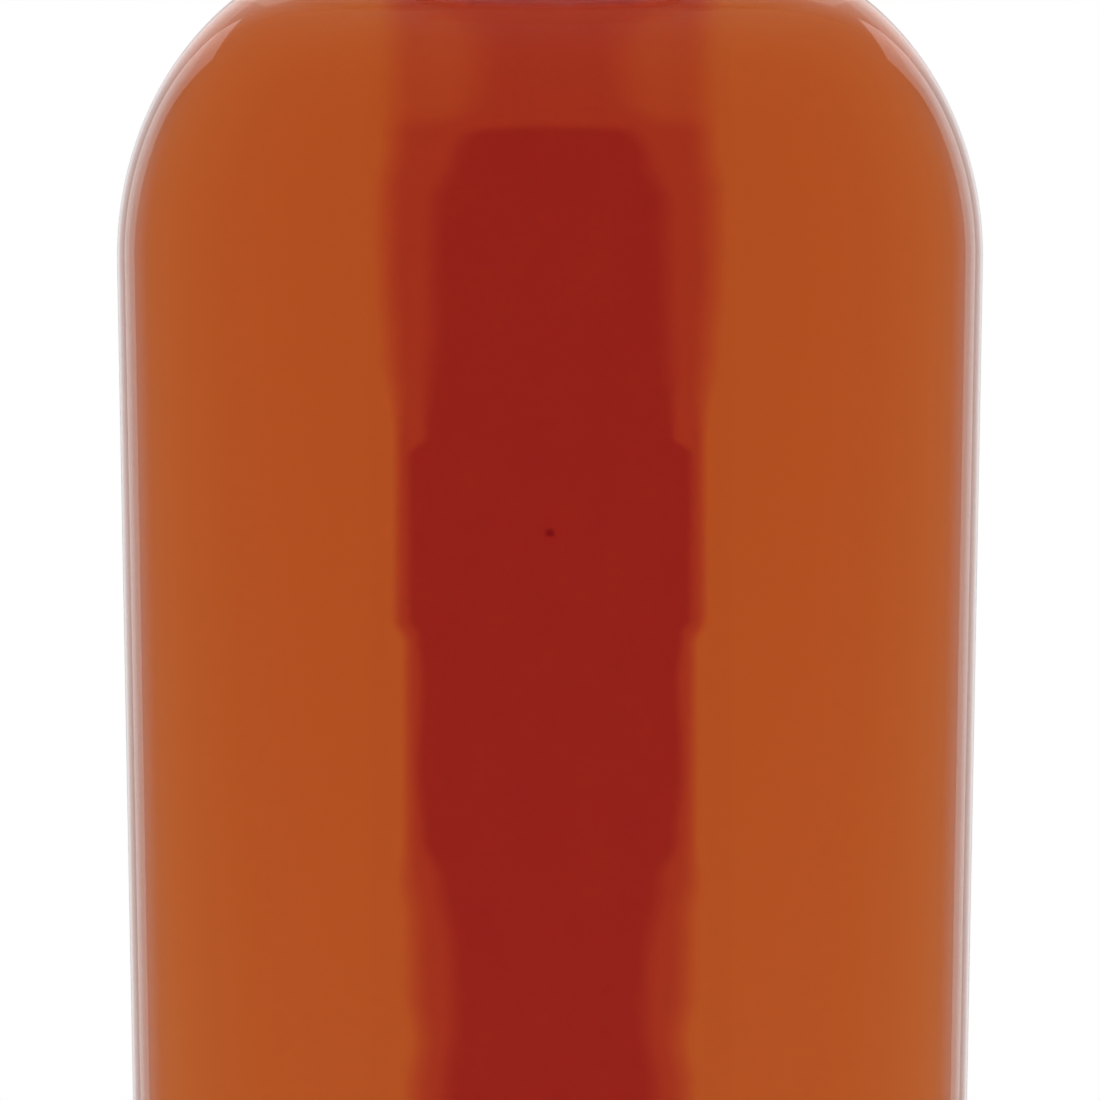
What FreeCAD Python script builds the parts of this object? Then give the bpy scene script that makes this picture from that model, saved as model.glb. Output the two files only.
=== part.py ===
"""A 70 cl flat-sided whisky bottle of clear glass, full, with a cork stopper and a label on its back.

+Z is up and +X is to the right. The bare face looks along -Y and the label is on the +Y face. The
origin is the middle of the base, at the level the bottle stands on. Lengths are in millimetres,
and angles are in degrees.
"""
import FreeCAD, Part
import math
import os

# Body, outside
body_width = 98.0  # at the shoulder line, where the bottle is widest
body_depth = 58.0  # front to back at the shoulder line
shoulder_line = 142.0  # height at which the sides turn into the shoulders
side_taper = 0.01875  # draw of each side for each millimetre below the shoulder line
face_taper = 1.8  # draw of each face between the shoulder line and the base
face_taper_power = 1.5  # how much of that draw lies near the base
squareness = 6.5  # exponent of the cross-section: 2 is an ellipse, and more is squarer
squareness_fall = 1.0  # how soon the cross-section turns round on its way to the neck

# Shoulders. Seen from the front they are quarter ellipses, and from the side quarter circles.
shoulder_reach = 35.6  # inwards from each side
shoulder_rise = 38.1  # upwards from the shoulder line
shoulder_turn = 71.7  # steepest lean, where the shoulder hands over to the neck's root
face_round_start = 15.5  # above the shoulder line
face_round_radius = 16.0
face_round_turn = 60.0

# Neck and mouth
neck_diameter = 29.0
bore_diameter = 19.0
neck_length = 44.0  # from the top of its root to the mouth
lip_step = 2.0  # how far the lip stands out from the neck
lip_height = 9.0
lip_round = 1.8
lip_under_round = 1.2
throat_step = 0.3  # how far the neck between collar and lip stands out
throat_height = 2.4
collar_step = 1.2
collar_height = 3.2
collar_round = 0.8
mouth_chamfer = 0.8

# Glass thickness
wall = 3.2
cavity_squareness = 6.0
base_thickness = 8.0
heel_radius = 6.0  # outside, at the foot of the walls
cavity_heel_radius = 13.0  # inside, at the foot of the walls
resting_rim = 3.0  # width of the flat ring that the bottle stands on
push_up = 3.5  # height of the hollow under the base

# Whisky and stopper
ullage = 34.0  # from the mouth down to the whisky
cork_length = 22.0  # in the bore
cork_clearance = 0.02  # all round the cork
head_diameter = 30.0
head_height = 13.0
head_round = 2.4  # round of the head's top edge
head_foot_round = 0.9
cork_chamfer = 0.8  # of the foot of the cork

# Label, a printed film that stands on the back face
label_thickness = 0.2
label_clearance = 0.02  # of the glue between glass and film
label_bottom = 30.0  # height above the base
label_top = 20.0  # above the shoulder line
label_width = 42.0
label_corner_round = 3.0

# How finely the curved surfaces are set out
points_round = 72  # on each cross-section, in eighths
heel_rings = 7
wall_rings = 5
shoulder_rings = 13
root_rings = 9
beyond = 5.0  # how far a cutting solid runs past what it cuts


class Side:
    """Half a width of the bottle as a function of height.

    From the bottom it is a tapering wall, a quarter ellipse that starts at start, a hollow arc that
    turns back to upright, and the neck. All are tangent to the next.
    """

    def __init__(self, half, start, reach, rise, turn, neck, taper):
        lean = math.radians(turn)
        self.half, self.start, self.reach, self.rise = half, start, reach, rise
        self.neck, self.taper, self.lean = neck, taper, lean
        self.first = -math.atan(taper * rise / reach)
        self.last = math.atan(math.tan(lean) * rise / reach)
        self.wall_top = start + rise * math.sin(self.first)
        self.root_bottom = start + rise * math.sin(self.last)
        at_root = half - reach + reach * math.cos(self.last)
        self.root_radius = (at_root - neck) / (1 - math.cos(lean))
        self.root_top = self.root_bottom + self.root_radius * math.sin(lean)

    def at(self, height):
        if height >= self.root_top:
            return self.neck
        if height > self.root_bottom:
            below = self.root_top - height
            return self.neck + self.root_radius - math.sqrt(self.root_radius**2 - below**2)
        if height > self.wall_top:
            up = (height - self.start) / self.rise
            return self.half - self.reach * (1 - math.sqrt(1 - up * up))
        at_wall_top = self.half - self.reach * (1 - math.cos(self.first))
        return at_wall_top - self.taper * (self.wall_top - height)

    def shoulder_levels(self):
        """Heights at which to set out the shoulder."""
        turns = spread(self.first, self.last, shoulder_rings)
        return [self.start + self.rise * math.sin(turn) for turn in turns]

    def root_levels(self):
        """Heights at which to set out the hollow root of the neck."""
        turns = spread(self.lean, 0.0, root_rings)
        return [self.root_top - self.root_radius * math.sin(turn) for turn in turns]


class Skin:
    """The outside of the bottle, or a surface that runs inset millimetres inside it."""

    def __init__(self, inset, neck_radius, exponent):
        self.neck, self.exponent = neck_radius, exponent
        self.half_width = body_width / 2 - inset
        self.wide = Side(
            self.half_width,
            shoulder_line,
            shoulder_reach - inset,
            shoulder_rise - inset,
            shoulder_turn,
            neck_radius,
            side_taper,
        )
        self.deep = Side(
            body_depth / 2 - inset,
            shoulder_line + face_round_start,
            face_round_radius - inset,
            face_round_radius - inset,
            face_round_turn,
            neck_radius,
            0.0,
        )

    def ring(self, height, cut=0.0):
        """The cross-section at a height as a closed wire, cut millimetres smaller all round."""
        below = max(shoulder_line - height, 0.0) / shoulder_line
        across = self.wide.at(height) - cut
        deep = self.deep.at(height) - face_taper * below**face_taper_power - cut
        left = (self.wide.at(height) - self.neck) / (self.half_width - self.neck)
        power = 2 + (self.exponent - 2) * min(left, 1.0) ** squareness_fall
        if height < shoulder_line:
            power = self.exponent
        return superellipse(across, deep, power, height)

    def solid(self, floor, heel, top):
        """The solid inside the skin, from a floor with a rounded heel up to a flat top."""
        heel_turns = spread(0.0, math.pi / 2, heel_rings)
        heel_part = [
            self.ring(floor + heel * (1 - math.cos(turn)), heel * (1 - math.sin(turn)))
            for turn in heel_turns
        ]
        wall_part = [self.ring(z) for z in spread(floor + heel, self.wide.wall_top, wall_rings)]
        shoulder_part = [self.ring(z) for z in self.wide.shoulder_levels()]
        root_part = [self.ring(z) for z in self.wide.root_levels()]
        neck_part = [root_part[-1], self.ring(top)]
        wall_part[0] = heel_part[-1]
        shoulder_part[0] = wall_part[-1]
        root_part[0] = shoulder_part[-1]
        faces = [Part.Face(heel_part[0]), Part.Face(neck_part[-1])]
        for rings in (heel_part, wall_part, shoulder_part, root_part, neck_part):
            faces += Part.makeLoft(rings, False).Faces
        return closed(faces)


def spread(first, last, count):
    """Evenly spaced values from first to last."""
    return [first + (last - first) * i / (count - 1) for i in range(count)]


def closed(faces):
    """The solid that faces with common edges enclose."""
    shell = Part.makeShell(faces)
    shell.sewShape()
    solid = Part.makeSolid(shell)
    if solid.Volume < 0:
        solid.reverse()
    return solid


def superellipse(half_x, half_y, power, height):
    """A closed wire of |x/half_x|**power + |y/half_y|**power = 1 at a height."""
    corner = 0.5 ** (1 / power)
    eighth = points_round // 8
    closeness = math.radians(70.0)  # draws the points together towards the corners
    side = [corner * math.sin(closeness * i / eighth) / math.sin(closeness) for i in range(eighth + 1)]
    quarter = [((1 - v**power) ** (1 / power), v) for v in side]
    quarter += [(v, u) for u, v in reversed(quarter[1:-1])]
    points = []
    for turn_x, turn_y in ((1, 1), (-1, 1), (-1, -1), (1, -1)):
        for u, v in quarter:
            across, deep = (u, v) if turn_x * turn_y > 0 else (v, u)
            points.append(FreeCAD.Vector(across * half_x * turn_x, deep * half_y * turn_y, height))
    curve = Part.BSplineCurve()
    steps = [float(i) for i in range(len(points) + 1)]
    curve.interpolate(points, PeriodicFlag=True, Parameters=steps)
    return Part.Wire([curve.toShape()])


def turned(outline):
    """A solid turned about the Z axis from (radius, height) points, joined by straight lines."""
    points = [FreeCAD.Vector(radius, 0, height) for radius, height in outline]
    face = Part.Face(Part.makePolygon(points + points[:1]))
    return face.revolve(FreeCAD.Vector(), FreeCAD.Vector(0, 0, 1), 360)


def with_round_rims(solid, rims):
    """The turned solid with its rims rounded, for rims given as (radius, height, round)."""
    for radius, height, size in rims:
        edges = [
            edge
            for edge in solid.Edges
            if isinstance(edge.Curve, Part.Circle)
            and abs(edge.Curve.Radius - radius) < 1e-6
            and abs(edge.Curve.Center.z - height) < 1e-6
        ]
        solid = solid.makeFillet(size, edges)
    return solid


def outer_skin():
    return Skin(0.0, neck_diameter / 2, squareness)


def mouth_height():
    return outer_skin().wide.root_top + neck_length


def finish():
    """The turned collar, throat and lip at the top of the neck."""
    neck = neck_diameter / 2
    top = mouth_height()
    lip_bottom = top - lip_height
    collar_top = lip_bottom - throat_height
    collar_bottom = collar_top - collar_height
    outline = turned(
        (
            (0.0, collar_bottom),
            (neck + collar_step, collar_bottom),
            (neck + collar_step, collar_top),
            (neck + throat_step, collar_top),
            (neck + throat_step, lip_bottom),
            (neck + lip_step, lip_bottom),
            (neck + lip_step, top),
            (0.0, top),
        )
    )
    return with_round_rims(
        outline,
        (
            (neck + collar_step, collar_bottom, collar_round),
            (neck + collar_step, collar_top, collar_round),
            (neck + lip_step, lip_bottom, lip_under_round),
            (neck + lip_step, top, lip_round),
        ),
    )


def outside():
    """The bottle's outside, solid all through, with its finish."""
    in_collar = mouth_height() - lip_height - throat_height - collar_height / 2
    return outer_skin().solid(0.0, heel_radius, in_collar).fuse(finish())


def hollow_base():
    """The shallow dome that is hollow under the base, run out below it."""
    skin = outer_skin()
    margin = heel_radius + resting_rim
    across = skin.wide.at(0.0) - margin
    deep = skin.deep.at(0.0) - face_taper - margin
    rings = [superellipse(across, deep, squareness, -beyond)]
    dome_levels = 6
    flat_share = 0.25  # of the dome's size, which is flat at its top
    for i in range(dome_levels + 1):
        turn = math.pi / 2 * i / dome_levels
        size = flat_share + (1 - flat_share) * math.cos(turn)
        rings.append(superellipse(across * size, deep * size, squareness, push_up * math.sin(turn)))
    return Part.makeLoft(rings, True, True)


def cavity():
    """The hollow of the bottle, run out past the mouth."""
    skin = Skin(wall, bore_diameter / 2, cavity_squareness)
    return skin.solid(base_thickness, cavity_heel_radius, mouth_height() + beyond)


def funnel():
    """The cone that bevels the mouth of the bore, run out past the mouth and down into the bore."""
    top = mouth_height()
    rim = bore_diameter / 2 + mouth_chamfer
    down = rim / 2
    return turned(
        (
            (0.0, top - down),
            (rim - down, top - down),
            (rim + beyond, top + beyond),
            (0.0, top + beyond),
        )
    )


def glass_bottle():
    return outside().cut(cavity()).cut(funnel()).cut(hollow_base())


def whisky():
    skin = Skin(wall, bore_diameter / 2, cavity_squareness)
    return skin.solid(base_thickness, cavity_heel_radius, mouth_height() - ullage)


def cork():
    radius = bore_diameter / 2 - cork_clearance
    bottom = mouth_height() - cork_length
    return turned(
        (
            (0.0, bottom),
            (radius - cork_chamfer, bottom),
            (radius, bottom + cork_chamfer),
            (radius, mouth_height()),
            (0.0, mouth_height()),
        )
    )


def stopper_head():
    radius = head_diameter / 2
    bottom = mouth_height()
    top = bottom + head_height
    disc = turned(((0.0, bottom), (radius, bottom), (radius, top), (0.0, top)))
    return with_round_rims(disc, ((radius, top, head_round), (radius, bottom, head_foot_round)))


def back_label():
    """The film, cut by its outline from a skin that lies its glue's thickness off the back face."""
    height = shoulder_line + label_top - label_bottom
    corner = FreeCAD.Vector(-label_width / 2, 0, label_bottom)
    blank = Part.makeBox(label_width, body_depth, height, corner)
    corners = [edge for edge in blank.Edges if edge.BoundBox.YLength > body_depth / 2]
    outline = blank.makeFillet(label_corner_round, corners)
    neck = neck_diameter / 2
    top = mouth_height()
    inner = Skin(-label_clearance, neck + label_clearance, squareness)
    proud = label_clearance + label_thickness
    outer = Skin(-proud, neck + proud, squareness)
    film = outline.common(outer.solid(0.0, heel_radius, top))
    return film.cut(inner.solid(0.0, heel_radius, top))


def main():
    os.makedirs("parts", exist_ok=True)
    nodes = {
        "glass_bottle": glass_bottle(),
        "whisky": whisky(),
        "cork": cork(),
        "stopper_head": stopper_head(),
        "back_label": back_label(),
    }
    for name, shape in nodes.items():
        shape.exportStep(f"parts/{name}.step")
        box = shape.BoundBox
        print(
            f"{name}: {len(shape.Solids)} solid, valid {shape.isValid()},"
            f" {shape.Volume / 1000:.2f} cm3, faces {len(shape.Faces)},"
            f" x {box.XMin:.2f}..{box.XMax:.2f}, y {box.YMin:.2f}..{box.YMax:.2f},"
            f" z {box.ZMin:.2f}..{box.ZMax:.2f}"
        )


main()
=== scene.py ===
import math

import bpy
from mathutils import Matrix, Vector


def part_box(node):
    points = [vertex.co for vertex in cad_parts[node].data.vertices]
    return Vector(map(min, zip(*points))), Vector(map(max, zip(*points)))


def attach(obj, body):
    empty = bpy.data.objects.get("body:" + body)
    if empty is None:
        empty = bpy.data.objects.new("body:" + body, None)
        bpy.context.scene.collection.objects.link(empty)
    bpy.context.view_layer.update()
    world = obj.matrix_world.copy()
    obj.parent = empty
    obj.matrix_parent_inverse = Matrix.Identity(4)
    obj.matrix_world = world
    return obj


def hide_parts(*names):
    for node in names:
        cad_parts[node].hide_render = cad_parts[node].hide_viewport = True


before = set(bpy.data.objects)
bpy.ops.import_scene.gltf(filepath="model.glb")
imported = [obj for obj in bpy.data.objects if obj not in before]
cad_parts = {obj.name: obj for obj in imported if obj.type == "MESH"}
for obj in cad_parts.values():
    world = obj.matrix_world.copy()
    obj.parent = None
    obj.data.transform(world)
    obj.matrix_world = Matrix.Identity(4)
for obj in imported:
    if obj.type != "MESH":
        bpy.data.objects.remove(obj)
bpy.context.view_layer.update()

MM = 0.001

# ---------------------------------------------------------------- fineness of the meshes
ROUND = 256  # points on each cross-section, in eighths
CROWDING = math.radians(70.0)  # towards the corners: near 0 they are even, and 90 degrees is most
HEEL_RINGS, WALL_RINGS, SHOULDER_RINGS, ROOT_RINGS = 17, 25, 49, 33
PUSH_UP_RINGS, NECK_RINGS, BORE_RINGS = 13, 6, 14
MENISCUS_RINGS, CORK_RINGS = 12, 12
LABEL_ROWS, LABEL_CORNER_ROWS, LABEL_COLUMNS = 330, 8, 121
FLOOR_SIDES = 96

# ---------------------------------------------------------------- sizes from the frame, in metres
GLASS_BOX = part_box("glass_bottle")
WHISKY_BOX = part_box("whisky")
CORK_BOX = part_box("cork")
HEAD_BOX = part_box("stopper_head")
LABEL_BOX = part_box("back_label")

HALF_WIDTH = GLASS_BOX[1][0]
HALF_DEPTH = -GLASS_BOX[0][1]
MOUTH = GLASS_BOX[1][2]
LEVEL = WHISKY_BOX[1][2]
FLOOR_IN = WHISKY_BOX[0][2]

# ---------------------------------------------------------------- sizes as in part.py, in metres
SHOULDER_LINE = 142.0 * MM
SIDE_TAPER = 0.01875
FACE_TAPER = 1.8 * MM
FACE_TAPER_POWER = 1.5
SQUARENESS = 6.5
CAVITY_SQUARENESS = 6.0
SQUARENESS_FALL = 1.0
SHOULDER_REACH = 35.6 * MM
SHOULDER_RISE = 38.1 * MM
SHOULDER_TURN = math.radians(71.7)
FACE_ROUND_START = 15.5 * MM
FACE_ROUND_RADIUS = 16.0 * MM
FACE_ROUND_TURN = math.radians(60.0)
NECK = 14.5 * MM
BORE = 9.5 * MM
WALL = 3.2 * MM
HEEL = 6.0 * MM
HEEL_IN = 13.0 * MM
RESTING_RIM = 3.0 * MM
PUSH_UP = 3.5 * MM
LIP_STEP = 2.0 * MM
LIP_HEIGHT = 9.0 * MM
LIP_ROUND = 1.8 * MM
LIP_UNDER_ROUND = 1.2 * MM
THROAT_STEP = 0.3 * MM
THROAT_HEIGHT = 2.4 * MM
COLLAR_STEP = 1.2 * MM
COLLAR_HEIGHT = 3.2 * MM
COLLAR_ROUND = 0.8 * MM
MOUTH_ROUND = 0.8 * MM

LABEL_CLEARANCE = 0.02 * MM
LABEL_THICKNESS = 0.2 * MM
LABEL_HALF = 21.0 * MM
LABEL_CORNER = 3.0 * MM

# ---------------------------------------------------------------- sizes of details, in metres
FILLET = 0.5 * MM  # in the hollows beside the collar and under the lip
THROAT_FILLET_RISE = 0.6 * MM  # of the centre of the fillet above the collar
PUSH_UP_CENTRE = 0.25  # size of the innermost ring under the base, against the rim
INTO_WALL = 0.15 * MM  # how far the whisky reaches into the glass, so that no air gap shows
LEVEL_GAP = 0.2 * MM  # least room between the rings of the whisky's body and its level
MENISCUS_CLIMB, MENISCUS_REACH, MENISCUS_POWER = 0.9 * MM, 2.6 * MM, 2.6
CORK_BEVEL, CORK_BEVEL_IN = 0.8 * MM, 0.2 * MM  # and how far in the middle of the bevel lies
HEAD_FOOT_ROUND, HEAD_TOP_ROUND, HEAD_DOME = 0.9 * MM, 2.4 * MM, 0.12 * MM
GROOVES = (3.2 * MM, 4.6 * MM)  # their heights above the foot of the head
GROOVE = (  # depth and height of each point, in millimetres
    (0.0, -0.4), (0.12, -0.25), (0.3, 0.0), (0.12, 0.25), (0.0, 0.4),
)
DOME_RINGS = (0.8, 0.6, 0.4, 0.2, 0.08)  # against the radius
NEAR = 1e-6  # a length that counts as none


# ---------------------------------------------------------------- the bottle's form
def spread(first, last, count):
    """Evenly spaced numbers from first to last."""
    return [first + (last - first) * i / (count - 1) for i in range(count)]


class Side:
    """Half a width against height: wall, quarter ellipse, hollow root and neck, each tangent."""

    def __init__(self, half, start, reach, rise, lean, neck, taper):
        self.half, self.start, self.reach, self.rise = half, start, reach, rise
        self.neck, self.taper, self.lean = neck, taper, lean
        self.first = -math.atan(taper * rise / reach)
        self.last = math.atan(math.tan(lean) * rise / reach)
        self.wall_top = start + rise * math.sin(self.first)
        self.root_bottom = start + rise * math.sin(self.last)
        at_root = half - reach + reach * math.cos(self.last)
        self.root_radius = (at_root - neck) / (1 - math.cos(lean))
        self.root_top = self.root_bottom + self.root_radius * math.sin(lean)

    def at(self, z):
        if z >= self.root_top:
            return self.neck
        if z > self.root_bottom:
            below = self.root_top - z
            return self.neck + self.root_radius - math.sqrt(self.root_radius**2 - below**2)
        if z > self.wall_top:
            up = (z - self.start) / self.rise
            return self.half - self.reach * (1 - math.sqrt(1 - up * up))
        at_top = self.half - self.reach * (1 - math.cos(self.first))
        return at_top - self.taper * (self.wall_top - z)


class Skin:
    """The bottle's outside, or a surface inset from it, with its own neck and squareness."""

    def __init__(self, inset, neck, power):
        self.neck, self.power, self.half = neck, power, HALF_WIDTH - inset
        self.wide = Side(
            self.half, SHOULDER_LINE, SHOULDER_REACH - inset, SHOULDER_RISE - inset,
            SHOULDER_TURN, neck, SIDE_TAPER,
        )
        radius = FACE_ROUND_RADIUS - inset
        self.deep = Side(
            HALF_DEPTH - inset, SHOULDER_LINE + FACE_ROUND_START, radius, radius,
            FACE_ROUND_TURN, neck, 0.0,
        )

    def section(self, z):
        """Half width, half depth and exponent of the cross-section at a height."""
        below = max(SHOULDER_LINE - z, 0.0) / SHOULDER_LINE
        across = self.wide.at(z)
        deep = self.deep.at(z) - FACE_TAPER * below**FACE_TAPER_POWER
        left = min((across - self.neck) / (self.half - self.neck), 1.0)
        power = 2 + (self.power - 2) * left**SQUARENESS_FALL
        return across, deep, self.power if z < SHOULDER_LINE else power

    def ring(self, z, cut=0.0):
        """The cross-section at a height, made smaller all round by the cut."""
        across, deep, power = self.section(z)
        return loop(across - cut, deep - cut, power, z)

    def back(self, x, z, proud):
        """Distance of the rear face from the middle at x and z, or of a surface proud of it."""
        across, deep, power = self.section(z)
        inside = max(1 - abs(x / (across + proud)) ** power, 0.0)
        return (deep + proud) * inside ** (1 / power)

    def body(self, floor, heel):
        """Rings from the foot of the heel up to the top of the neck's root."""
        rings = [
            self.ring(floor + heel * (1 - math.cos(turn)), heel * (1 - math.sin(turn)))
            for turn in spread(0.0, math.pi / 2, HEEL_RINGS)
        ]
        wall = spread(floor + heel, self.wide.wall_top, WALL_RINGS)
        rings += [self.ring(z) for z in wall[1:]]
        side = self.wide
        heights = [
            side.start + side.rise * math.sin(turn)
            for turn in spread(side.first, side.last, SHOULDER_RINGS)[1:]
        ]
        heights += [
            side.root_top - side.root_radius * math.sin(turn)
            for turn in spread(side.lean, 0.0, ROOT_RINGS)[1:]
        ]
        return rings + [self.ring(z) for z in heights]


def loop(half_x, half_y, power, z):
    """Points of |x/half_x|**power + |y/half_y|**power = 1, closer together at the corners."""
    corner = 0.5 ** (1 / power)
    eighth = ROUND // 8
    side = [
        corner * math.sin(CROWDING * i / eighth) / math.sin(CROWDING)
        for i in range(eighth + 1)
    ]
    quarter = [((1 - v**power) ** (1 / power), v) for v in side]
    quarter += [(v, u) for u, v in reversed(quarter[1:-1])]
    points = []
    for sign_x, sign_y in ((1, 1), (-1, 1), (-1, -1), (1, -1)):
        for u, v in quarter:
            across, deep = (u, v) if sign_x * sign_y > 0 else (v, u)
            points.append((across * half_x * sign_x, deep * half_y * sign_y, z))
    return points


def circle(radius, z):
    return loop(radius, radius, 2.0, z)


def skin_faces(rings):
    """Quads between rings of ROUND points."""
    faces = []
    for start in range(0, (len(rings) - 1) * ROUND, ROUND):
        for i in range(ROUND):
            a, b = start + i, start + (i + 1) % ROUND
            faces.append((a, b, b + ROUND, a + ROUND))
    return faces


def fan(centre, first, upward):
    """Triangles from a centre point to a ring."""
    faces = []
    for i in range(ROUND):
        a, b = first + i, first + (i + 1) % ROUND
        faces.append((centre, a, b) if upward else (centre, b, a))
    return faces


def make_object(name, points, faces, materials):
    """A smoothly shaded mesh object."""
    mesh = bpy.data.meshes.new(name)
    mesh.from_pydata(points, [], faces)
    mesh.update()
    for polygon in mesh.polygons:
        polygon.use_smooth = True
    for material in materials:
        mesh.materials.append(material)
    obj = bpy.data.objects.new(name, mesh)
    bpy.context.scene.collection.objects.link(obj)
    return obj


def set_field(obj, name, values):
    """Stores a number for each point of a mesh, which a material reads."""
    field = obj.data.attributes.new(name, "FLOAT", "POINT")
    field.data.foreach_set("value", values)


def closed_tube(name, rings, bottom, top, material):
    """A closed piece of rings with a point at each end."""
    points = [point for ring in rings for point in ring]
    low, high = len(points), len(points) + 1
    points += [(0, 0, bottom), (0, 0, top)]
    faces = skin_faces(rings)
    faces += fan(low, 0, False)
    faces += fan(high, (len(rings) - 1) * ROUND, True)
    return make_object(name, points, faces, (material,))


def arc(centre_r, centre_z, radius, ends, count):
    """Rings along an arc of the turned profile, whose ends are degrees up from straight outwards."""
    turns = [math.radians(t) for t in spread(*ends, count)]
    return [circle(centre_r + radius * math.cos(t), centre_z + radius * math.sin(t)) for t in turns]


# ---------------------------------------------------------------- node helpers
class Graph:
    """The node tree of a material or of the world."""

    def __init__(self, tree):
        self.nodes, self.links = tree.nodes, tree.links

    def feed(self, sockets, values):
        """Sets each socket to its value, or links it where the value is another node's output."""
        for socket, value in zip(sockets, values):
            if isinstance(value, bpy.types.NodeSocket):
                self.links.new(value, socket)
            else:
                socket.default_value = value

    def new(self, kind, **values):
        """A node with some of its inputs set or linked, in words joined by underscores."""
        node = self.nodes.new("ShaderNode" + kind)
        names = [name.replace("_", " ") for name in values]
        self.feed([node.inputs[name] for name in names], values.values())
        return node

    def math(self, operation, *values, clamp=False):
        node = self.new("Math")
        node.operation = operation
        node.use_clamp = clamp
        self.feed(node.inputs, values)
        return node.outputs[0]

    def scaled(self, value, factor, offset):
        """value * factor + offset."""
        return self.math("MULTIPLY_ADD", value, factor, offset)

    def smooth_step(self, value, low, high):
        """Eases from 0 where the value is low to 1 where it is high."""
        node = self.new("MapRange", Value=value, From_Min=low, From_Max=high)
        node.interpolation_type = "SMOOTHSTEP"
        return node.outputs[0]

    def mix(self, kind, factor, a, b):
        """From a, where the factor is 0, to b, where it is 1. The kind is FLOAT or RGBA."""
        node = self.new("Mix")
        node.data_type = kind
        self.feed([socket for socket in node.inputs if socket.enabled], (factor, a, b))
        return next(socket for socket in node.outputs if socket.enabled)

    def place(self, scale):
        """Place on the object, scaled along each axis."""
        place = self.new("TexCoord").outputs["Object"]
        return self.new("Mapping", Vector=place, Scale=scale).outputs[0]

    def noise(self, scale, detail, roughness=0.5):
        """Noise whose scale along each axis is in features for each metre."""
        place = self.place(scale)
        node = self.new("TexNoise", Vector=place, Scale=1.0, Detail=detail, Roughness=roughness)
        return node.outputs[0]

    def bump(self, height, strength, distance):
        return self.new("Bump", Height=height, Strength=strength, Distance=distance).outputs[0]

    def attribute(self, name):
        """The node of a field in the mesh."""
        node = self.new("Attribute")
        node.attribute_name = name
        return node


def new_material(name):
    """A new material, its graph and its shader."""
    material = bpy.data.materials.new(name)
    material.use_nodes = True
    graph = Graph(material.node_tree)
    return material, graph, graph.nodes["Principled BSDF"]


def clear_material(name, ior):
    """A clear material with a smooth surface."""
    material, graph, shader = new_material(name)
    shader.inputs["Roughness"].default_value = 0.0
    shader.inputs["IOR"].default_value = ior
    shader.inputs["Transmission Weight"].default_value = 1.0
    return material, graph, shader


def add_absorption(graph, fade, density):
    """Absorbs light inside the material: fade is the exponent of each colour for each metre."""
    colour = (*[1 - value / density for value in fade], 1)
    volume = graph.new("VolumeAbsorption", Density=density, Color=colour)
    graph.links.new(volume.outputs[0], graph.nodes["Material Output"].inputs["Volume"])


# ---------------------------------------------------------------- materials
WHITE, BLACK = (1, 1, 1, 1), (0, 0, 0, 1)
GLASS_IOR, WHISKY_IOR, FILM_IOR = 1.5, 1.36, 1.46
GLASS_FADE = (9.5, 4.0, 4.0)  # of the faint blue green in thick glass, for each metre
GLASS_DENSITY = 10.0
RIPPLE_HEIGHT = 0.02 * MM  # of the glass's faint ripple
# exponents of the whisky's absorption over the depth between the faces
WHISKY_DEPTH = 2 * (HALF_DEPTH - WALL)
WHISKY_FADE = (0.675, 2.46, 4.27)
WHISKY_DENSITY = 100.0
# what the printed film lets through where its ink lies at full strength
INK = (0.655, 0.172, 0.57, 1)
MOTTLING = 0.20  # of the strength of the ink and of the painted shade


def glass_material():
    """Clear glass. Where the whisky wets it, its own reflection is off, as two media meet there."""
    material, graph, shader = clear_material("clear_glass", GLASS_IOR)
    shader.inputs["Base Color"].default_value = WHITE
    graph.links.new(graph.attribute("dry").outputs["Color"], shader.inputs["Specular Tint"])
    add_absorption(graph, GLASS_FADE, GLASS_DENSITY)
    ripple = graph.noise(scale=(60, 60, 9), detail=2.0)
    graph.links.new(graph.bump(ripple, 1.0, RIPPLE_HEIGHT), shader.inputs["Normal"])
    return material


def whisky_material():
    material, graph, shader = clear_material("whisky", WHISKY_IOR)
    shader.inputs["Base Color"].default_value = WHITE
    shader.inputs["Specular Tint"].default_value = BLACK
    add_absorption(graph, [fade / WHISKY_DEPTH for fade in WHISKY_FADE], WHISKY_DENSITY)
    return material


def film_material(name, outer_side):
    """Clear film printed with see-through ink and carrying see-through painted shade, whose strength
    is in the mesh.
    """
    material, graph, shader = clear_material(name, FILM_IOR)
    strength = graph.attribute("ink_and_shade").outputs["Fac"]
    mottling = graph.noise(scale=(230, 230, 160), detail=4.0, roughness=0.6)
    uneven = graph.scaled(mottling, MOTTLING, 1 - MOTTLING / 2)
    tint = graph.new("Gamma", Color=INK, Gamma=graph.math("MULTIPLY", strength, uneven))
    graph.links.new(tint.outputs[0], shader.inputs["Base Color"])
    if not outer_side:
        shader.inputs["Specular Tint"].default_value = BLACK
    return material


def cork_material():
    """Natural cork with dark pores."""
    dark, light = (0.36, 0.21, 0.10, 1), (0.66, 0.45, 0.26, 1)
    pore = (0.15, 0.075, 0.035, 1)
    material, graph, shader = new_material("cork")
    grain = graph.noise(scale=(220, 220, 120), detail=5.0, roughness=0.65)
    cells = graph.new("TexVoronoi", Vector=graph.place((420, 420, 260)), Scale=1.0)
    in_pore = graph.smooth_step(cells.outputs["Distance"], low=0.32, high=0.12)
    colour = graph.mix("RGBA", in_pore, graph.mix("RGBA", grain, dark, light), pore)
    graph.links.new(colour, shader.inputs["Base Color"])
    shader.inputs["Roughness"].default_value = 0.85
    normal = graph.bump(grain, strength=0.5, distance=0.2 * MM)
    graph.links.new(normal, shader.inputs["Normal"])
    return material


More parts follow.
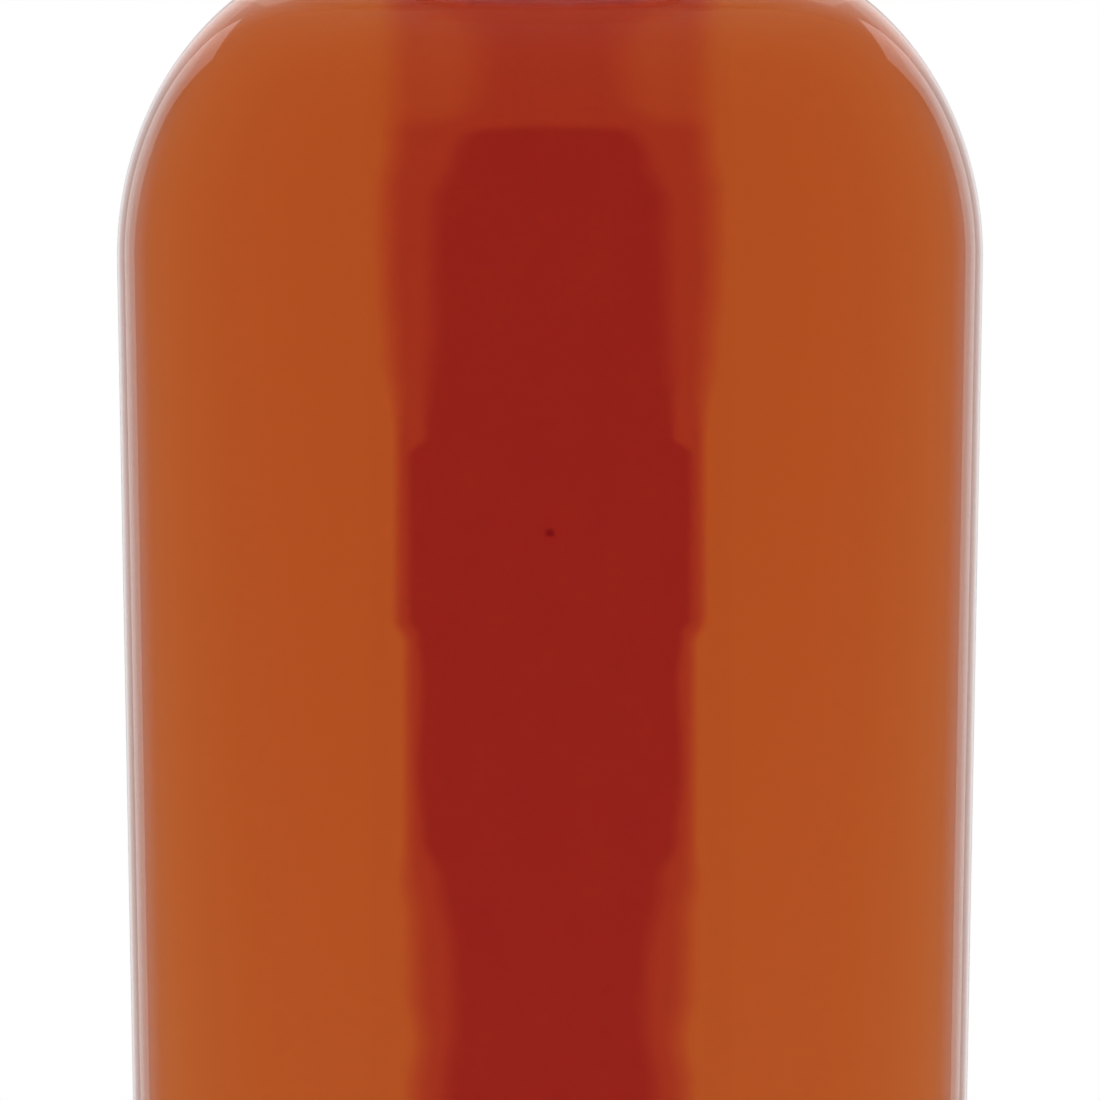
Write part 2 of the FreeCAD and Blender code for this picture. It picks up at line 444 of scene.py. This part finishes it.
def wood_material():
    """Dark stained wood, turned with the grain upright and oiled."""
    dark, light = (0.045, 0.022, 0.012, 1), (0.21, 0.105, 0.05, 1)
    stain, pore = (0.12, 0.055, 0.028, 1), (0.02, 0.01, 0.006, 1)
    material, graph, shader = new_material("stopper_wood")
    warp = graph.noise(scale=(60, 60, 14), detail=3.0)
    grain = graph.noise(scale=(700, 700, 45), detail=6.0, roughness=0.62)
    fine = graph.noise(scale=(2600, 2600, 160), detail=2.0)
    base = graph.mix("RGBA", grain, dark, light)
    base = graph.mix("RGBA", warp, base, stain)
    in_pore = graph.smooth_step(fine, low=0.62, high=0.70)
    colour = graph.mix("RGBA", in_pore, base, pore)
    graph.links.new(colour, shader.inputs["Base Color"])
    shader.inputs["Roughness"].default_value = 0.42
    normal = graph.bump(grain, strength=0.25, distance=0.1 * MM)
    graph.links.new(normal, shader.inputs["Normal"])
    return material


# ---------------------------------------------------------------- glass, whisky and stopper
def push_up_rings(outer):
    """The hollow under the base, from its middle out to the ring it stands on."""
    foot_x, foot_y, _ = outer.section(0.0)
    rim_x, rim_y = foot_x - HEEL - RESTING_RIM, foot_y - HEEL - RESTING_RIM
    rings = []
    for turn in spread(math.pi / 2, 0.0, PUSH_UP_RINGS):
        size = PUSH_UP_CENTRE + (1 - PUSH_UP_CENTRE) * math.cos(turn)
        rings.append(loop(rim_x * size, rim_y * size, SQUARENESS, PUSH_UP * math.sin(turn)))
    return rings


def neck_rings(root_top):
    """The neck above its root, the collar, the throat, the lip and the mouth's round edge."""
    lip_bottom = MOUTH - LIP_HEIGHT
    collar_top = lip_bottom - THROAT_HEIGHT
    collar_bottom = collar_top - COLLAR_HEIGHT
    neck_top = collar_bottom - FILLET
    rings = [circle(NECK, z) for z in spread(root_top, neck_top, NECK_RINGS)[1:]]
    rings += arc(NECK + FILLET, neck_top, FILLET, (180, 100), 5)[1:]
    r = COLLAR_ROUND
    rings += arc(NECK + COLLAR_STEP - r, collar_bottom + r, r, (-80, 0), 6)
    rings += arc(NECK + COLLAR_STEP - r, collar_top - r, r, (0, 80), 6)
    throat = NECK + THROAT_STEP + FILLET
    rings += arc(throat, collar_top + THROAT_FILLET_RISE, FILLET, (260, 180), 5)
    rings += arc(throat, lip_bottom - FILLET, FILLET, (180, 110), 5)
    r = LIP_UNDER_ROUND
    rings += arc(NECK + LIP_STEP - r, lip_bottom + r, r, (-75, 0), 7)
    r = LIP_ROUND
    rings += arc(NECK + LIP_STEP - r, MOUTH - r, r, (0, 90), 9)
    r = MOUTH_ROUND
    return rings + arc(BORE + r, MOUTH - r, r, (90, 180), 7)


def bore_rings(root_top):
    """The bore from the mouth down, with a ring where the whisky begins to wet it."""
    heights = spread(MOUTH - MOUTH_ROUND, root_top, BORE_RINGS)[1:] + [LEVEL]
    return [circle(BORE, z) for z in sorted(heights, reverse=True)]


def build_glass():
    outer = Skin(0.0, NECK, SQUARENESS)
    inner = Skin(WALL, BORE, CAVITY_SQUARENESS)
    rings = push_up_rings(outer) + outer.body(0.0, HEEL) + neck_rings(outer.wide.root_top)
    outer_count = len(rings)
    rings += bore_rings(inner.wide.root_top)
    rings += inner.body(FLOOR_IN, HEEL_IN)[::-1][1:]
    piece = closed_tube("bottle_glass", rings, PUSH_UP, FLOOR_IN, glass_material())
    # 1 where the glass meets air, and 0 where the whisky wets it
    dry = []
    for index, ring in enumerate(rings):
        dry += [float(index < outer_count or ring[0][2] > LEVEL + NEAR)] * ROUND
    dry += [1.0, 0.0]  # the middles of the hollow base and of the floor inside
    set_field(piece, "dry", dry)
    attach(piece, "root")
    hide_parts("glass_bottle")
    return piece


def build_whisky():
    """The whisky, which reaches a little into the wall and climbs it at the level."""
    bottom, edge = FLOOR_IN - INTO_WALL, BORE + INTO_WALL
    skin = Skin(WALL - INTO_WALL, edge, CAVITY_SQUARENESS)
    rings = [ring for ring in skin.body(bottom, HEEL_IN) if ring[0][2] < LEVEL - LEVEL_GAP]
    rings.append(circle(edge, LEVEL))
    for step in spread(0.0, 1.0, MENISCUS_RINGS):
        climb = MENISCUS_CLIMB * (1 - step) ** MENISCUS_POWER
        rings.append(circle(edge - MENISCUS_REACH * step, LEVEL + climb))
    piece = closed_tube("whisky_fill", rings, bottom, LEVEL, whisky_material())
    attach(piece, "root")
    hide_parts("whisky")
    return piece


def build_cork():
    bottom, top = CORK_BOX[0][2], CORK_BOX[1][2]
    radius = CORK_BOX[1][0]
    bevel_top = bottom + CORK_BEVEL
    rings = [circle(radius - CORK_BEVEL, bottom)]
    rings.append(circle(radius - CORK_BEVEL_IN, bottom + 0.5 * CORK_BEVEL))
    rings += [circle(radius, z) for z in spread(bevel_top, top, CORK_RINGS)]
    piece = closed_tube("cork_shank", rings, bottom, top, cork_material())
    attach(piece, "root")
    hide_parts("cork")
    return piece


def build_head():
    """The turned head with two fine grooves and a slightly domed top."""
    bottom, top = HEAD_BOX[0][2], HEAD_BOX[1][2]
    radius = HEAD_BOX[1][0]
    r = HEAD_FOOT_ROUND
    rings = [circle(radius - r, bottom)]
    rings += arc(radius - r, bottom + r, r, (-80, 0), 5)
    for groove in GROOVES:
        rings += [circle(radius - depth * MM, bottom + groove + up * MM) for depth, up in GROOVE]
    r = HEAD_TOP_ROUND
    rings += arc(radius - r, top - r, r, (0, 84), 9)
    rings += [circle(radius * s, top - HEAD_DOME * s * s) for s in DOME_RINGS]
    piece = closed_tube("wooden_head", rings, bottom, top, wood_material())
    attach(piece, "root")
    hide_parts("stopper_head")
    return piece


# ---------------------------------------------------------------- printed film
# The print and painted shade, in millimetres: half width of each against height above the base. The
# strong core is print, and the weaker margin around it is painted shade, a soft shadow edge. Both
# have soft edges.
CORE = (
    (47.0, 12.1), (54.0, 11.0), (61.0, 11.2), (71.0, 12.8), (75.0, 14.5), (83.0, 15.2), (94.0, 14.8),
    (99.0, 15.2), (101.0, 16.3), (120.0, 16.3), (122.0, 14.3), (137.0, 13.5), (149.0, 13.3),
    (154.0, 11.3), (158.0, 9.4),
)
MARGIN = (
    (47.0, 15.6), (52.0, 14.8), (58.0, 15.6), (66.0, 15.7), (71.0, 16.4), (98.0, 16.5), (101.0, 17.7),
    (125.0, 17.6), (133.0, 18.3), (140.0, 18.8), (150.0, 18.8), (156.0, 17.9), (161.0, 17.9),
)
# strength of the print in the core, and of the painted shade in the margin around it
CORE_INK, MARGIN_SHADE = 1.0, 0.555
CORE_ENDS = (38.0, 157.9)
MARGIN_FOOT = 34.5
ENDS_SOFTNESS = 1.0  # of the ends of core and margin
CORE_SOFTNESS = 0.8  # of the core's edge, against the margin's
CORE_ARCH, CORE_ARCH_SOFTNESS = 0.5, 0.6  # how far its head is lower 10 mm out, and its softness
# above the core the margin's painted shade fades to a lighter tint, with a darker tongue of painted
# shade up its middle
HEAD_SHADE, TONGUE_SHADE = 0.28, 0.575
HEAD_FADE = (156.8, 160.4)
TONGUE, TONGUE_FLARE = 8.0, 1.9  # half width at the head, and how much it grows for each mm below
TONGUE_SOFTNESS = 3.2
SOFTNESS = (  # half the width of a soft edge against height
    (68.0, 2.1), (76.0, 1.1), (98.0, 0.9), (121.0, 0.9), (131.0, 2.1), (150.0, 2.3),
)
SPECK_HEIGHT, SPECK_RADIUS, SPECK_INK = 110.9, 0.42, 1.1  # a speck of ink on the centre line
SPECK_SOFTNESS = 0.15
FILM_EDGE = math.radians(40)  # faces that meet at more than this have a sharp edge


def eased(value, low, high):
    """Eases from 0 where the value is low to 1 where it is high."""
    share = min(max((value - low) / (high - low), 0.0), 1.0)
    return share * share * (3 - 2 * share)


def within(inside, softness):
    """1 inside an edge and 0 outside it, from how far inside a place is."""
    return eased(inside, -softness, softness)


def width_at(table, height):
    """The value at a height, eased from one to the next."""
    for (low, first), (high, second) in zip(table, table[1:]):
        if height <= high:
            return first + (second - first) * eased(height, low, high)
    return table[-1][1]


def ink_and_shade_at(x, z):
    """Strength of the ink and of the painted shade at a place on the film, in metres."""
    x, z = abs(x) / MM, z / MM
    soft = width_at(SOFTNESS, z)
    # painted shade of the margin: a soft shadow edge around the print, which fades towards its head
    shade_strength = MARGIN_SHADE + (HEAD_SHADE - MARGIN_SHADE) * eased(z, *HEAD_FADE)
    ink_and_shade = shade_strength * within(width_at(MARGIN, z) - x, soft)
    ink_and_shade *= eased(z, MARGIN_FOOT - ENDS_SOFTNESS, MARGIN_FOOT + ENDS_SOFTNESS)
    # painted shade: a darker tongue up the middle above the print's head
    tongue_half = TONGUE + TONGUE_FLARE * max(HEAD_FADE[1] - z, 0.0)
    tongue = (TONGUE_SHADE - shade_strength) * eased(z, CORE_ENDS[1] - ENDS_SOFTNESS, CORE_ENDS[1])
    tongue *= within(tongue_half - x, TONGUE_SOFTNESS)
    ink_and_shade += max(tongue, 0.0)
    core = within(width_at(CORE, z) - x, CORE_SOFTNESS * soft)
    core *= within(CORE_ENDS[1] - z - CORE_ARCH * (x / 10) ** 2, CORE_ARCH_SOFTNESS)
    core *= eased(z, CORE_ENDS[0] - ENDS_SOFTNESS, CORE_ENDS[0] + ENDS_SOFTNESS)
    ink_and_shade += (CORE_INK - ink_and_shade) * core
    from_speck = math.hypot(x, z - SPECK_HEIGHT)
    return ink_and_shade + SPECK_INK * within(SPECK_RADIUS - from_speck, SPECK_SOFTNESS)


def label_half(z):
    """Half width of the film at a height, with its rounded corners."""
    near_end = min(z - LABEL_BOX[0][2], LABEL_BOX[1][2] - z)
    inside = max(LABEL_CORNER - near_end, 0.0)
    return LABEL_HALF - LABEL_CORNER + math.sqrt(max(LABEL_CORNER**2 - inside**2, 0.0))


def label_heights():
    """Heights of the film's rows, closer together in its rounded corners."""
    bottom, top = LABEL_BOX[0][2], LABEL_BOX[1][2]
    turns = spread(0.0, math.pi / 2, LABEL_CORNER_ROWS)
    corner = [LABEL_CORNER * (1 - math.cos(turn)) for turn in turns]
    heights = [bottom + step for step in corner]
    heights += spread(bottom + LABEL_CORNER, top - LABEL_CORNER, LABEL_ROWS)[1:-1]
    return heights + [top - step for step in reversed(corner)]


def sheet_faces(rows, across):
    """Quads of a thin sheet's reverse, of its face and of the edge between them."""
    sheet = rows * across
    starts = [i * across + j for i in range(rows - 1) for j in range(across - 1)]
    reverse = [(a, a + 1, a + across + 1, a + across) for a in starts]
    face = [tuple(sheet + point for point in reversed(quad)) for quad in reverse]
    rim = list(range(across))
    rim += [i * across + across - 1 for i in range(1, rows)]
    rim += [(rows - 1) * across + j for j in range(across - 2, -1, -1)]
    rim += [i * across for i in range(rows - 2, 0, -1)]
    edge = [(b, a, a + sheet, b + sheet) for a, b in zip(rim, rim[1:] + rim[:1])]
    return reverse, face, edge


def build_label():
    """The printed film on the rear face: its outer side, its reverse and an edge."""
    skin = Skin(0.0, NECK, SQUARENESS)
    heights = label_heights()
    points, ink_and_shade = [], []
    for proud in (LABEL_CLEARANCE, LABEL_CLEARANCE + LABEL_THICKNESS):
        for z in heights:
            half = label_half(z)
            for column in spread(-1.0, 1.0, LABEL_COLUMNS):
                x = half * column
                points.append((x, skin.back(x, z, proud), z))
                ink_and_shade.append(ink_and_shade_at(x, z))
    reverse, face, edge = sheet_faces(len(heights), LABEL_COLUMNS)
    sides = (film_material("film_reverse", False), film_material("film_face", True))
    piece = make_object("label_film", points, reverse + face + edge, sides)
    for polygon in piece.data.polygons[len(reverse):len(reverse) + len(face)]:
        polygon.material_index = 1
    piece.data.set_sharp_from_angle(angle=FILM_EDGE)
    set_field(piece, "ink_and_shade", ink_and_shade)
    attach(piece, "root")
    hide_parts("back_label")
    return piece


# ---------------------------------------------------------------- stage, light and camera
FLOOR_RADIUS, FLOOR_DROP = 0.62, 0.0002  # and how far it lies below the bottle
FLOOR_COLOUR = (0.82, 0.82, 0.82, 1)
FLOOR_FADE = (0.26, 0.56)  # where it turns into the white room, outwards from the bottle
# the room seen through glass, against how far aside the view goes
THROUGH_LEVEL, THROUGH_FALL, THROUGH_ASIDE = 0.97, 0.45, (0.10, 0.50)
# the room mirrored by glass, against the direction: y is to the back and z is up
BESIDE, BEHIND, CENTRE, ABOVE = (-0.3, 0.25), (0.2, 0.7), (0.86, 1.0), (0.1, 0.6)
BESIDE_FALL, BEHIND_FALL = 0.95, 0.30  # from level to above
CENTRE_FALL = 1.25  # straight behind
MIRRORED_LEVEL, MIRRORED_LEAST = 0.92, 0.08  # of that pattern, and of the room everywhere
DIFFUSE_LEVEL = 0.72  # of the room as it lights the floor and the pieces
AIM = Vector((0, 0, 0.12))  # of the lamps
FRAME_WIDTH = 126.05 * MM  # of the view, at the middle of the bottle
LENS, SENSOR = 290.0, 36.0
VIEW_HEIGHT = 108.8 * MM
FARTHEST = 100.0  # place that the camera sees
BOUNCES = 24


def seen_through(graph, aside):
    """Brightness of the room through glass: almost white straight behind, darker to the sides."""
    share = graph.smooth_step(graph.math("ABSOLUTE", aside), *THROUGH_ASIDE)
    return graph.scaled(share, -THROUGH_FALL, THROUGH_LEVEL)


def build_floor():
    """A pale floor that takes the bottle's shadow and turns into the white room further out."""
    material, graph, shader = new_material("floor")
    shader.inputs["Base Color"].default_value = FLOOR_COLOUR
    shader.inputs["Roughness"].default_value = 0.9
    shader.inputs["Specular IOR Level"].default_value = 0.0
    place = graph.new("TexCoord").outputs["Object"]
    length = graph.new("VectorMath")
    length.operation = "LENGTH"
    graph.links.new(place, length.inputs[0])
    distance = length.outputs["Value"]
    far = graph.smooth_step(distance, *FLOOR_FADE)
    path = graph.new("LightPath")
    camera, through = path.outputs["Is Camera Ray"], path.outputs["Is Transmission Ray"]
    seen = graph.math("MAXIMUM", camera, through)
    aside = graph.math("DIVIDE", graph.new("SeparateXYZ", Vector=place).outputs[0], distance)
    level = graph.mix("FLOAT", through, 1.0, seen_through(graph, aside))
    glow = graph.new("Emission", Strength=level)
    mixer = graph.new("MixShader")
    graph.feed(mixer.inputs, (graph.math("MULTIPLY", far, seen), shader.outputs[0], glow.outputs[0]))
    graph.links.new(mixer.outputs[0], graph.nodes["Material Output"].inputs["Surface"])
    turns = [2 * math.pi * i / FLOOR_SIDES for i in range(FLOOR_SIDES)]
    points = [(0, 0, 0)]
    points += [(FLOOR_RADIUS * math.cos(t), FLOOR_RADIUS * math.sin(t), 0) for t in turns]
    faces = [(0, 1 + i, 1 + (i + 1) % FLOOR_SIDES) for i in range(FLOOR_SIDES)]
    floor = make_object("floor", points, faces, (material,))
    floor.location.z = -FLOOR_DROP
    floor.visible_glossy = False


def mirrored_level(graph, y, z):
    """What the glass mirrors: little in front, more at the sides and most behind them."""
    beside = graph.smooth_step(y, *BESIDE)
    behind = graph.smooth_step(y, *BEHIND)
    centre = graph.smooth_step(y, *CENTRE)
    above = graph.smooth_step(z, *ABOVE)
    beside = graph.math("MULTIPLY", beside, graph.scaled(above, -BESIDE_FALL, 1.0))
    behind = graph.math("MULTIPLY", behind, graph.scaled(above, -BEHIND_FALL, 1.0))
    level = graph.scaled(centre, -CENTRE_FALL, graph.math("ADD", beside, behind))
    level = graph.scaled(graph.math("MAXIMUM", level, 0.0), MIRRORED_LEVEL, MIRRORED_LEAST)
    return graph.math("MINIMUM", level, 1.0)


def build_world():
    """A room that is white to the camera, and less bright as a light, in glass and through it."""
    world = bpy.data.worlds.new("studio")
    bpy.context.scene.world = world
    world.use_nodes = True
    graph = Graph(world.node_tree)
    direction = graph.new("TexCoord").outputs["Generated"]
    x, y, z = graph.new("SeparateXYZ", Vector=direction).outputs
    mirrored = mirrored_level(graph, y, z)
    through = seen_through(graph, x)
    path = graph.new("LightPath").outputs
    glossy = graph.math("SUBTRACT", path["Is Glossy Ray"], path["Is Transmission Ray"], clamp=True)
    strength = graph.mix("FLOAT", path["Is Camera Ray"], DIFFUSE_LEVEL, 1.0)
    strength = graph.mix("FLOAT", path["Is Transmission Ray"], strength, through)
    strength = graph.mix("FLOAT", glossy, strength, mirrored)
    background = graph.nodes["Background"].inputs
    graph.links.new(strength, background["Strength"])
    background["Color"].default_value = WHITE


def build_lamp(name, place, size, power, mirrored=False):
    """A soft lamp aimed at the bottle, which the glass mirrors or not."""
    lamp = bpy.data.lights.new(name, "AREA")
    lamp.shape = "RECTANGLE"
    lamp.size, lamp.size_y = size
    lamp.energy = power
    obj = bpy.data.objects.new(name, lamp)
    bpy.context.scene.collection.objects.link(obj)
    obj.location = place
    obj.rotation_euler = (AIM - Vector(place)).to_track_quat("-Z", "Y").to_euler()
    obj.visible_camera = False
    obj.visible_transmission = False
    obj.visible_glossy = mirrored


def build_softbox(name, place, size, power):
    """A lamp beside, behind or above the bottle, which brightens its rims."""
    build_lamp(name, place, size, power, mirrored=True)


def build_lamps():
    build_lamp("key", place=(-0.7, -0.6, 1.1), size=(0.7, 0.7), power=4.5)
    for name, side in (("left", -1), ("right", 1)):
        beside = (0.87 * side, 0.50, 0.50)
        behind = (0.60 * side, 0.80, 0.35)
        build_softbox(name + "_side_box", place=beside, size=(0.62, 1.4), power=3.4)
        build_softbox(name + "_back_box", place=behind, size=(0.90, 1.2), power=1.2)
    build_softbox("top_box", place=(0.0, 0.70, 0.85), size=(0.6, 0.5), power=0.4)


def build_camera():
    data = bpy.data.cameras.new("camera")
    data.lens = LENS
    data.sensor_width = SENSOR
    data.clip_end = FARTHEST
    camera = bpy.data.objects.new("camera", data)
    bpy.context.scene.collection.objects.link(camera)
    camera.location = (0, -LENS * FRAME_WIDTH / SENSOR, VIEW_HEIGHT)
    camera.rotation_euler = (math.pi / 2, 0, 0)
    bpy.context.scene.camera = camera


def set_up_scene():
    scene = bpy.context.scene
    scene.view_settings.view_transform = "Standard"
    scene.cycles.max_bounces = BOUNCES
    scene.cycles.transmission_bounces = BOUNCES
    scene.cycles.glossy_bounces = BOUNCES
    scene.cycles.blur_glossy = 0.0
    scene.cycles.use_denoising = True


build_glass()
build_whisky()
build_cork()
build_head()
build_label()
build_floor()
build_world()
build_lamps()
build_camera()
set_up_scene()
